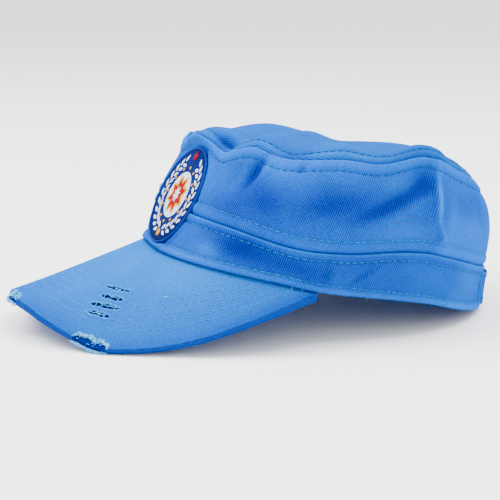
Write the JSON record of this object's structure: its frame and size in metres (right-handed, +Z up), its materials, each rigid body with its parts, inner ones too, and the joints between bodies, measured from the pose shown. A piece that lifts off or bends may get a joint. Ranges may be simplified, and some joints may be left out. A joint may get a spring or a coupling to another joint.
{
  "type": "kepi cap",
  "caption": "Soft twill kepi cap with a sagging top panel, plain band, stiff arched peak with worn slits, round front badge and back strap.",
  "frame": {"origin": "middle of the bounding box's footprint, on the surface that the cap rests on", "axes": "+Z up from that surface, the peak towards -Y and the strap towards +Y, the wearer's left towards +X"},
  "size_m": [0.1674, 0.2502, 0.0965],
  "materials": {
    "crown_twill": "washed blue cotton twill",
    "band_twill": "washed blue cotton twill, folded strip",
    "peak_twill": "faded blue cotton twill",
    "peak_board": "ribbed backing board",
    "badge_cloth": "embroidered patch"
  },
  "bodies": {
    "root": {"band": "band_twill", "crown_wall": "crown_twill", "crown_top": "crown_twill", "back_strap": "band_twill", "peak_top_cloth": "peak_twill", "peak_board": "peak_board", "peak_under_cloth": "peak_twill", "badge": "badge_cloth"}
  },
  "joints": []
}
